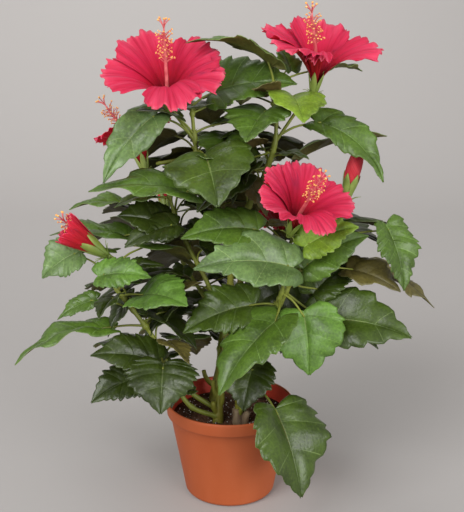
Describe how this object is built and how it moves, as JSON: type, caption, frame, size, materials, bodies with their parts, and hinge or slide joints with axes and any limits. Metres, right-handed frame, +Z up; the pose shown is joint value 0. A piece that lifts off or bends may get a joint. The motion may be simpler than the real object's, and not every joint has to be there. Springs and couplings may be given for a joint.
{
  "type": "artificial potted hibiscus shrub",
  "caption": "Artificial hibiscus shrub with large red fabric blooms and toothed green leaves on branching stems, standing in a filled round terracotta-coloured pot.",
  "frame": {"origin": "centre of the flat underside of the pot, where the part stands", "axes": "+Z up the plant; -Y towards the side that shows the large open blooms; +X to the right of that view"},
  "size_m": [0.4145, 0.3315, 0.4855],
  "materials": {
    "pot": "matte moulded terracotta-coloured plastic",
    "soil": "dark loose soil-like filling over a weighted plug",
    "stem": "matte moulded olive-green plastic",
    "leaf": "printed coated fabric with a soft sheen",
    "petal": "soft dyed fabric",
    "stamen": "matte moulded salmon-pink plastic",
    "anther": "matte yellow-orange flock",
    "calyx": "matte yellow-green plastic",
    "perlite": "matt white grains"
  },
  "bodies": {
    "root": {"pot": "pot", "soil": "soil", "stem_main": "stem", "stem_right": "stem", "stem_back": "stem", "bough_upper_left": "stem", "bough_upper_right": "stem", "bough_right": "stem", "bough_front": "stem", "bough_left": "stem", "bough_left_high": "stem", "bough_low_left": "stem", "bough_low_front": "stem", "bough_back_left": "stem", "bough_back_right": "stem", "bough_back_top": "stem", "bough_back_low": "stem", "bough_low_right": "stem", "foliage_upper_left": "leaf", "foliage_upper_right": "leaf", "foliage_right": "leaf", "foliage_front": "leaf", "foliage_left": "leaf", "foliage_left_high": "leaf", "foliage_low_left": "leaf", "foliage_low_front": "leaf", "foliage_back_left": "leaf", "foliage_back_right": "leaf", "foliage_back_top": "leaf", "foliage_back_low": "leaf", "foliage_low_right": "leaf"}
  },
  "joints": []
}
